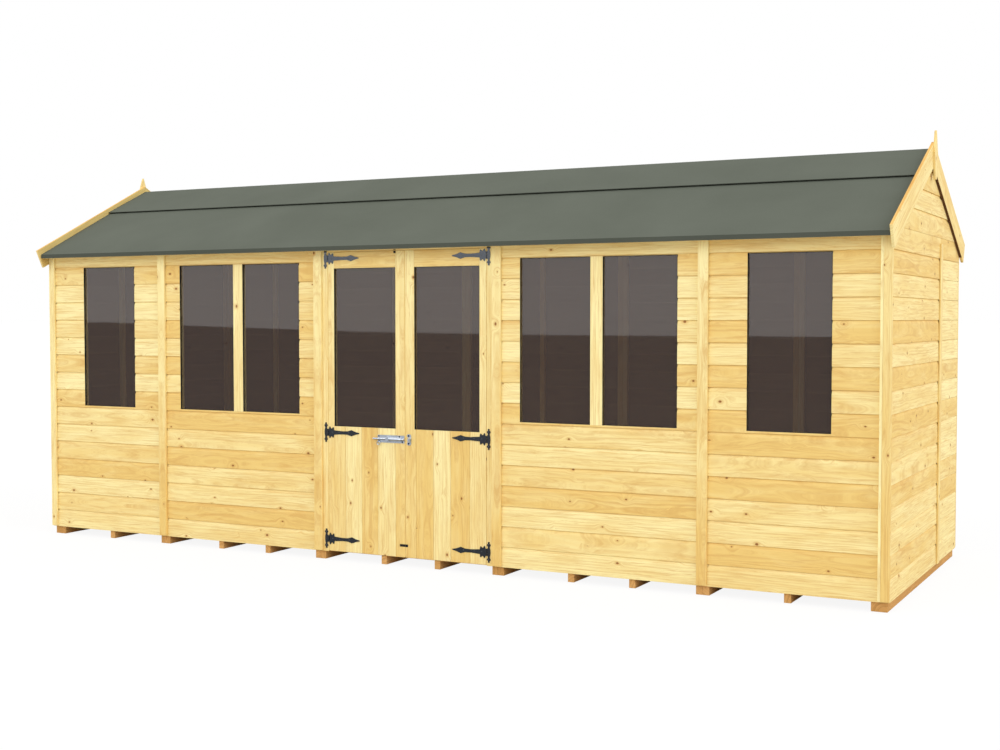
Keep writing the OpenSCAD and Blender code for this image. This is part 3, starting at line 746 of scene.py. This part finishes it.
def mineral_felt(name):
    """Bitumen sheet with crushed mineral rolled into it: dead matt, finely speckled, faintly blotched, with
    painted shade on its upright faces.
    """
    material, t = new_material(name)
    place_in = add(t, "TexCoord").outputs["Object"]
    # grit: 1 mm grains, drawn 5 mm across so that they show, over blotches nearly half a metre wide
    grit = add(t, "TexNoise", {"Vector": place_in, "Scale": 200.0, "Detail": 2.0}).outputs["Fac"]
    blotch = add(t, "TexNoise", {"Vector": place_in, "Scale": 2.2, "Detail": 3.0}).outputs["Fac"]
    both = add(t, "Mix", {0: 0.35, 2: blotch, 3: grit}).outputs[0]
    both = add(t, "MapRange", {0: both, 1: 0.35, 2: 0.65}).outputs[0]
    colour = add(t, "Mix", {0: both, 6: linear(FELT_DARK), 7: linear(FELT)}, data_type="RGBA").outputs[2]
    # painted shade: faces that turn from the sky towards upright are painted darker, for the less light they
    # get
    facing = add(t, "NewGeometry").outputs["Normal"]
    facing = add(t, "SeparateXYZ", {0: facing}).outputs[2]
    upright_shade = add(t, "MapRange", {0: facing, 1: 0.2, 2: 0.8, 3: FELT_UPRIGHT_SHADE, 4: 1.0}).outputs[0]
    colour = add(t, "VectorMath", {0: colour, "Scale": upright_shade}, operation="SCALE").outputs[0]
    bump = add(t, "Bump", {"Height": grit, "Strength": 0.25, "Distance": 0.0008}).outputs[0]
    shade = add(t, "BsdfPrincipled", {"Base Color": colour, "Roughness": 0.92, "Specular IOR Level": 0.25,
                                      "Normal": bump})
    add(t, "OutputMaterial", {"Surface": shade.outputs[0]})
    return material


felt = mineral_felt("green_mineral_felt")
for part in ("felt_front", "felt_back", "felt_ridge"):
    dress(part, felt)

# ---- Bargeboards and finials ----
# Planed boards nailed over the ends of the roof, with a spear-headed finial over their joint. Painted
# shade darkens their lower edges where they meet the gables, and their backs; their upper edges are sawn.

# painted shade: the shadowed gap between a board's lower edge and the gable
GAP_SHADE_PINE = ("#6b4423", "#5c3818", "#402610", "#2a1809")
SAWN_EDGE = ("#f2c779", "#e9b45c", "#cb9040", "#7d5226")
# painted shade: a board's back, darker for the shade it lies in
BACK_SHADE_PINE = ("#e3cb84", "#d6ba72", "#bb9350", "#7d5226")
# how squarely a face looks down, up or inwards to count as an edge or a back
FLAT_ENOUGH = 0.75


def finish_barge(piece):
    """Paints shade on the lower edges between the walls' corners and on the back, and leaves the upper edges
    sawn.
    """
    for material in (gap_shade, sawn_edges, back_shade):
        piece.data.materials.append(material)
    for face in piece.data.polygons:
        if face.normal.z < -FLAT_ENOUGH and abs(face.center.y) < wall_corner:
            face.material_index = 1
        elif face.normal.z > FLAT_ENOUGH:
            face.material_index = 2
        elif face.normal.x * face.center.x < -FLAT_ENOUGH:
            face.material_index = 3


gap_shade = softwood("painted_shade_lower_edges", GAP_SHADE_PINE, rough=0.7, figure=0.4, knotty=0.0)
sawn_edges = softwood("sawn_barge_edges", SAWN_EDGE, rough=0.75, figure=0.5, knotty=0.0)
back_shade = softwood("painted_shade_barge_backs", BACK_SHADE_PINE, rough=0.8, figure=0.5, knotty=0.0)
for seed, side in enumerate(("left", "right")):
    finish_barge(sticks("bargeboards_" + side, planed, 81 + seed, low=0.3, high=0.7,
                        marks=(-wall_corner, wall_corner)))
for seed, side in enumerate(("left", "right")):
    sticks("finial_" + side, planed, 83 + seed, low=0.3, high=0.7)

# ---- Doors ----
# Two leaves of upright planed boards nailed to a light frame, each with one pane in its upper half. The outer
# board and the meeting board run the full height, and a short board lies across above the pane.

DOOR_EASE = 0.0014
DOOR_JOINT = 0.0012
DOOR_TONGUE_SHORT = 0.001
# the tone at the top of the full-height boards
TALL_TOP = 0.1
# from the hinge edge: the widths of the boards but the last, then the tones of all and of the short one
LEFT_WIDTHS = (0.1195, 0.112, 0.111, 0.1215)
RIGHT_WIDTHS = (0.1035, 0.123, 0.114, 0.114)
LEFT_TONES = (0.7, 0.15, 0.85, 0.2, 0.8, 0.55)
RIGHT_TONES = (0.4, 0.85, 0.15, 0.85, 0.8, 0.55)


def plank(made, outline, front, back, chance, tone, along, top=None):
    """One board of a door, from its outline in x and z. With top given, that is its tone at its top."""
    bm = new_solid()
    rims = [[bm.verts.new((x, y, z)) for x, z in outline] for y in (front, back)]
    bm.faces.new(rims[0])
    bm.faces.new(rims[1][::-1])
    for i in range(len(outline)):
        j = (i + 1) % len(outline)
        bm.faces.new((rims[0][j], rims[0][i], rims[1][i], rims[1][j]))
    bmesh.ops.recalc_face_normals(bm, faces=bm.faces)
    ease_edges(bm, DOOR_EASE)
    set_grain(bm, bm.verts[:], chance, tone, along)
    if top is not None:
        grade(bm, bm.verts[:], top, tone)
    join(made, bm)


def door_leaf(side, hinge_x, turn, widths, tones, seed):
    """The boards of one leaf. Distances run from its hinge edge, and turn is their way in x, 1 or -1."""
    chance = random.Random(seed)
    node = side + "_door_boards"
    low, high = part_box(node)
    pane_low, pane_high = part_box(side + "_door_glass")
    sill, lintel = pane_low.z + GLASS_LAP, pane_high.z - GLASS_LAP
    pane_edges = sorted((abs(pane_low.x - hinge_x), abs(pane_high.x - hinge_x)))
    near, far = pane_edges[0] + GLASS_LAP, pane_edges[1] - GLASS_LAP
    wide = high.x - low.x
    edges = [0.0]
    for width in widths:
        edges.append(edges[-1] + width)
    half = DOOR_JOINT / 2
    made = new_solid()

    def board(points, tone, along=Z, top=None):
        plank(made, [(hinge_x + turn * u, z) for u, z in points], low.y, high.y, chance, tone, along, top)

    board([(0, low.z), (edges[1] - half, low.z), (edges[1] - half, sill), (near, sill), (near, high.z),
           (0, high.z)], tones[0], top=TALL_TOP)
    for k in (1, 2, 3):
        last = min(edges[k + 1], far) if k == 3 else edges[k + 1]
        board([(edges[k] + half, low.z), (last - half, low.z), (last - half, sill), (edges[k] + half, sill)],
              tones[k])
    start = edges[4] + half
    meeting = [(start, low.z), (wide, low.z), (wide, high.z)]
    meeting += [(far, high.z), (far, sill), (start, sill)] if start < far else [(start, high.z)]
    board(meeting, tones[4], top=TALL_TOP)
    board([(near + half, lintel), (far - half, lintel), (far - half, high.z), (near + half, high.z)],
          tones[5], X)

    middle = (low.y + high.y) / 2
    gaps = [(edges[k] - half, edges[k] + half, low.z, sill) for k in (1, 2, 3, 4)]
    gaps += [(near, near + half, lintel, high.z), (far - half, far, lintel, high.z)]
    for a, b, z0, z1 in gaps:
        tongue = new_solid()
        x0, x1 = sorted((hinge_x + turn * a, hinge_x + turn * b))
        block(tongue, (x0, middle - TONGUE_HALF, z0 + DOOR_TONGUE_SHORT),
              (x1, middle + TONGUE_HALF, z1 - DOOR_TONGUE_SHORT))
        set_grain(tongue, tongue.verts[:], chance, 1.0, Z)
        join(made, tongue)
    place(made, side + "_door_boarding", side + "_door", planed, (node,))


door_leaf("left", leaf_low.x, 1, LEFT_WIDTHS, LEFT_TONES, 91)
door_leaf("right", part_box("right_door_boards")[1].x, -1, RIGHT_WIDTHS, RIGHT_TONES, 92)
for seed, side in enumerate(("left", "right")):
    sticks(side + "_door_frame", planed, 94 + seed)
    dress(side + "_door_glass", glass)
    reveal_shade_lining(side + "_door_glass", leaf_low.y, side + "_door_reveal_shade")

# ---- Tee hinges ----
# Stamped iron straps and post plates, lacquered black and held to the boards and the posts with
# round-headed screws of the same finish.

IRON = "#64686e"
STRAP_T = 0.002
# the radius of a screw's head and its rise
HINGE_SCREW = (0.0042, 0.0018)
# along a strap from its pin, and up or down a post plate, a little out from its middle
STRAP_SCREWS = (0.034, 0.082, 0.150)
PLATE_SCREWS = (-0.041, 0.041)
PLATE_SCREW_OUT = 0.004
HEAD_SIDES = 16
# the round of a screw's head, as shares of its radius and its rise
HEAD_RINGS = ((1.0, 0.0), (0.94, 0.22), (0.74, 0.62), (0.42, 0.9), (0.2, 0.97))


def black_lacquer(name, colour):
    """Stamped iron under black lacquer: dark, with a soft sheen and the dimples of the pressing."""
    material, t = new_material(name)
    place_in = add(t, "TexCoord").outputs["Object"]
    # dimples: 2 mm wide in the iron, drawn 6 mm wide so that they show
    dimple = add(t, "TexNoise", {"Vector": place_in, "Scale": 160.0, "Detail": 2.0}).outputs["Fac"]
    rough = add(t, "MapRange", {0: dimple, 3: 0.12, 4: 0.24}).outputs[0]
    bump = add(t, "Bump", {"Height": dimple, "Strength": 0.2, "Distance": 0.0004}).outputs[0]
    shade = add(t, "BsdfPrincipled", {"Base Color": linear(colour), "Metallic": 1.0, "Roughness": rough,
                                      "Normal": bump})
    add(t, "OutputMaterial", {"Surface": shade.outputs[0]})
    return material


def screws(spots, size, body, name, finish):
    """Round-headed screws that look to the front, with heads of one radius and rise on the face."""
    radius, rise = size
    turns = [math.tau * k / HEAD_SIDES for k in range(HEAD_SIDES)]
    bm = bmesh.new()
    for spot in spots:
        rings = []
        for wide, high in HEAD_RINGS:
            rings.append([bm.verts.new(Vector(spot) + Vector((math.cos(a) * wide * radius, -high * rise,
                                                              math.sin(a) * wide * radius))) for a in turns])
        bm.faces.new(rings[0][::-1])
        bm.faces.new(rings[-1])
        for one, two in zip(rings, rings[1:]):
            for k in range(HEAD_SIDES):
                after = (k + 1) % HEAD_SIDES
                bm.faces.new((one[k], one[after], two[after], two[k]))
    bmesh.ops.recalc_face_normals(bm, faces=bm.faces)
    for face in bm.faces:
        face.smooth = True
    place(bm, name, body, finish)


iron = (black_lacquer("black_lacquered_iron", IRON), "black_iron")
for part in ("hinge_plates", "left_door_straps", "right_door_straps"):
    dress(part, iron[0])
strap_face = leaf_low.y - STRAP_T
screws([((low.x + high.x) / 2 + math.copysign(PLATE_SCREW_OUT, low.x), strap_face, (low.z + high.z) / 2 + up)
        for low, high in boxes_of("hinge_plates") for up in PLATE_SCREWS],
       HINGE_SCREW, "house", "post_plate_screws", iron)
for side, turn in (("left", 1), ("right", -1)):
    heads = []
    for low, high in boxes_of(side + "_door_straps"):
        pin = low.x if turn > 0 else high.x
        heads += [(pin + turn * far, strap_face, (low.z + high.z) / 2) for far in STRAP_SCREWS]
    screws(heads, HINGE_SCREW, side + "_door", side + "_strap_screws", iron)

# ---- Door stops ----
# Small black rubber stops stuck to the face: one where the left leaf meets the head, and a strip across
# the two leaves near their foot. Each is cut where the leaf opens.

STOP_T = 0.0012
STOP_EASE = 0.0004
STOP_CUT = 0.0005
HEAD_STOP_X = (-0.074, -0.060)
HEAD_STOP_Z = (1.803, 1.845)
LEFT_STOP_X = (-0.0355, 0.0006)
RIGHT_STOP_X = (0.0024, 0.0185)
FOOT_STOP_Z = (0.1150, 0.1295)


def stop(spots, body, name):
    """Rubber blocks on the face, each between two distances in x and two in z."""
    bm = bmesh.new()
    for (x0, x1), (z0, z1) in spots:
        block(bm, (x0, leaf_low.y - STOP_T, z0), (x1, leaf_low.y, z1))
    ease_edges(bm, STOP_EASE)
    place(bm, name, body, stops_and_reveal_shade)


stop([(HEAD_STOP_X, (HEAD_STOP_Z[0], leaf_high.z - STOP_CUT)), (LEFT_STOP_X, FOOT_STOP_Z)],
     "left_door", "left_stops")
stop([(RIGHT_STOP_X, FOOT_STOP_Z)], "right_door", "right_stop")
stop([(HEAD_STOP_X, (head_foot + STOP_CUT, HEAD_STOP_Z[1]))], "house", "head_stop")

# ---- Bolt ----
# A barrel bolt of bright zinc-plated steel. Its plate is screwed to the left leaf and its keeper to the
# right one, with blackened screws, and its rod slides in the barrel on the plate.

ZINC = "#d6deea"
BLACKENED = "#1c1d20"
SCREW_BED = 0.002
BOLT_SCREW = (0.0046, 0.0014)
KEEPER_SCREW = (0.0055, 0.0016)
# along the plate or the keeper from its left end, and up from the rod's height
BOLT_SCREWS = ((0.008, -0.015), (0.008, 0.015), (0.147, 0.015), (0.167, -0.015))
KEEPER_SCREWS = ((0.0115, -0.022), (0.0115, 0.022))


def zinc_plate(name, smooth, dull):
    """Bright zinc on steel: silvery blue-white, with a slightly uneven gloss."""
    material, t = new_material(name)
    place_in = add(t, "TexCoord").outputs["Object"]
    # haze: patches about 11 mm wide
    haze = add(t, "TexNoise", {"Vector": place_in, "Scale": 90.0, "Detail": 3.0}).outputs["Fac"]
    rough = add(t, "MapRange", {0: haze, 3: smooth, 4: dull}).outputs[0]
    shade = add(t, "BsdfPrincipled", {"Base Color": linear(ZINC), "Metallic": 1.0, "Roughness": rough})
    add(t, "OutputMaterial", {"Surface": shade.outputs[0]})
    return material


satin_zinc = zinc_plate("satin_zinc", 0.30, 0.40)
bright_zinc = zinc_plate("bright_zinc", 0.12, 0.20)
blackened = (black_lacquer("blackened_steel", BLACKENED), "zinc_plate")
for part, zinc in (("bolt_plate", satin_zinc), ("bolt_rod", bright_zinc), ("bolt_keeper", satin_zinc)):
    dress(part, zinc)
plate_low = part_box("bolt_plate")[0]
keeper_low, keeper_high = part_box("bolt_keeper")
bolt_mid = (keeper_low.z + keeper_high.z) / 2
screw_face = leaf_low.y - SCREW_BED
screws([(plate_low.x + far, screw_face, bolt_mid + up) for far, up in BOLT_SCREWS],
       BOLT_SCREW, "left_door", "bolt_plate_screws", blackened)
screws([(keeper_low.x + far, screw_face, bolt_mid + up) for far, up in KEEPER_SCREWS],
       KEEPER_SCREW, "right_door", "keeper_screws", blackened)

# ---- Studio ----
# A plain pale paper floor under an even white sky, with a broad key lamp on the left and a fill on the
# gable. The floor is white to the eye, keeps the house's shadow, and is darker where glass mirrors it.

SKY = 0.88
FLOOR = "#d6d4d1"
FLOOR_MIRRORED = "#848688"
# the share of the floor's white that darkens in shadow
FLOOR_SHADE = 0.1
FLOOR_DROP = 0.0005
WHITE = "#ffffff"
# the floor's far edge is what the panes mirror as the line between floor and sky
FLOOR_EDGE = ((300, 300), (-408, 300), (-408, -432), (-168, -203), (-81, -124.5), (-48, -104), (300, -107))
# in degrees
LAMP_SPREAD = 40


def studio_sky():
    """An even sky, a little brighter to the eye and in glass than to what it lights."""
    world = bpy.data.worlds.new("studio_sky")
    world.use_nodes = True
    t = world.node_tree
    t.nodes.clear()
    path = add(t, "LightPath").outputs
    seen = path["Is Camera Ray"]
    for ray in ("Is Glossy Ray", "Is Transmission Ray"):
        seen = add(t, "Math", {0: seen, 1: path[ray]}, operation="MAXIMUM").outputs[0]
    level = add(t, "MapRange", {0: seen, 3: SKY, 4: 1.0}).outputs[0]
    sky = add(t, "Background", {"Color": linear(WHITE), "Strength": level})
    add(t, "OutputWorld", {"Surface": sky.outputs[0]})
    return world


def pale_paper(name):
    """Seamless paper: white to the eye save for a faint shadow, pale where it throws light on the house."""
    material, t = new_material(name)
    path = add(t, "LightPath").outputs
    matt = add(t, "BsdfDiffuse", {"Color": linear(FLOOR)})
    dim = add(t, "Emission", {"Color": linear(FLOOR_MIRRORED), "Strength": 1.0})
    white = add(t, "Emission", {"Color": linear(WHITE), "Strength": 1.0})
    bright = add(t, "BsdfDiffuse", {"Color": linear(WHITE)})
    lit = add(t, "MixShader", {0: FLOOR_SHADE, 1: white.outputs[0], 2: bright.outputs[0]})
    other = add(t, "MixShader", {0: path["Is Glossy Ray"], 1: matt.outputs[0], 2: dim.outputs[0]})
    both = add(t, "MixShader", {0: path["Is Camera Ray"], 1: other.outputs[0], 2: lit.outputs[0]})
    add(t, "OutputMaterial", {"Surface": both.outputs[0]})
    return material


def sun(name, towards, power):
    """A lamp far away in one direction, broad enough to soften its shadows."""
    lamp = bpy.data.lights.new(name, "SUN")
    lamp.energy = power
    lamp.angle = math.radians(LAMP_SPREAD)
    made = bpy.data.objects.new(name, lamp)
    made.rotation_euler = Vector(towards).to_track_quat("Z", "Y").to_euler()
    scene.collection.objects.link(made)


scene = bpy.context.scene
scene.view_settings.view_transform = "Standard"
scene.world = studio_sky()
ground = bpy.data.meshes.new("floor")
ground.from_pydata([(x, y, 0) for x, y in FLOOR_EDGE], [], [range(len(FLOOR_EDGE))])
ground.materials.append(pale_paper("pale_paper"))
floor = bpy.data.objects.new("floor", ground)
floor.location.z = -FLOOR_DROP
scene.collection.objects.link(floor)
floor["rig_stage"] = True
sun("key", (-0.25, -0.80, 0.50), 0.75)
sun("fill", (0.90, -0.15, 0.40), 1.1)

# ---- Camera ----
# A normal lens at standing height, nearly 9 m from the middle of the house, off the right-hand corner of
# the front and tipped down a little.

# in degrees
TIPPED_DOWN = 2.318
TURNED_LEFT = 27.554

eye = bpy.data.cameras.new("camera")
eye.lens = 49.87
eye.sensor_width = 36.0
eye.clip_end = 1000
camera = bpy.data.objects.new("camera", eye)
camera.location = (4.1503, -7.6982, 1.4262)
camera.rotation_euler = (math.radians(90 - TIPPED_DOWN), 0, math.radians(TURNED_LEFT))
scene.collection.objects.link(camera)
scene.camera = camera

low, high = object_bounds()
